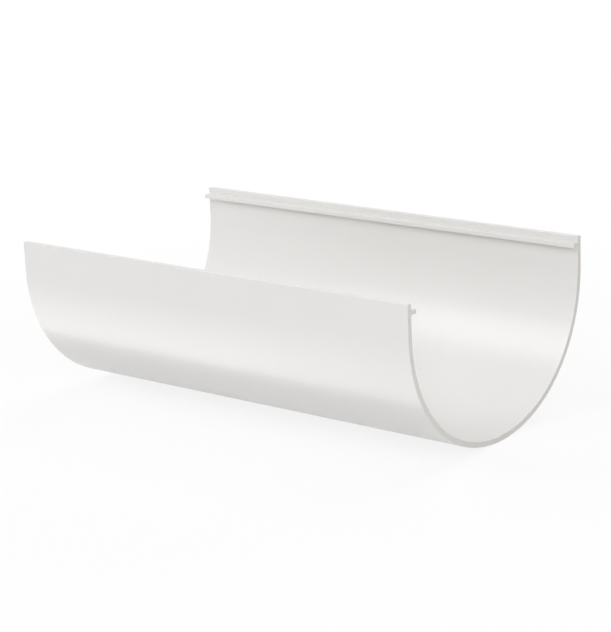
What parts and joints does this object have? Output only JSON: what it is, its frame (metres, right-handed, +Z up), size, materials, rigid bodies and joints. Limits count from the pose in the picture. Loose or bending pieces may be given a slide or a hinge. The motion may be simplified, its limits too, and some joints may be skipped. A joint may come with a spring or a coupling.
{
  "type": "half-round gutter section",
  "caption": "Half-round rain gutter length: an open U-shaped plastic channel with a small inward rib under each rim, carrying roof water along the eaves.",
  "frame": {"origin": "under the middle of the length, at the lowest point of the round bottom, where the gutter rests on the floor", "axes": "+X along the gutter, +Y across it, +Z up through the open top"},
  "size_m": [0.202, 0.125, 0.072],
  "materials": {
    "upvc": "extruded PVC-U in off-white, smooth with a soft semi-gloss, plain sawn ends"
  },
  "bodies": {
    "root": {"gutter_profile": "upvc"}
  },
  "joints": []
}
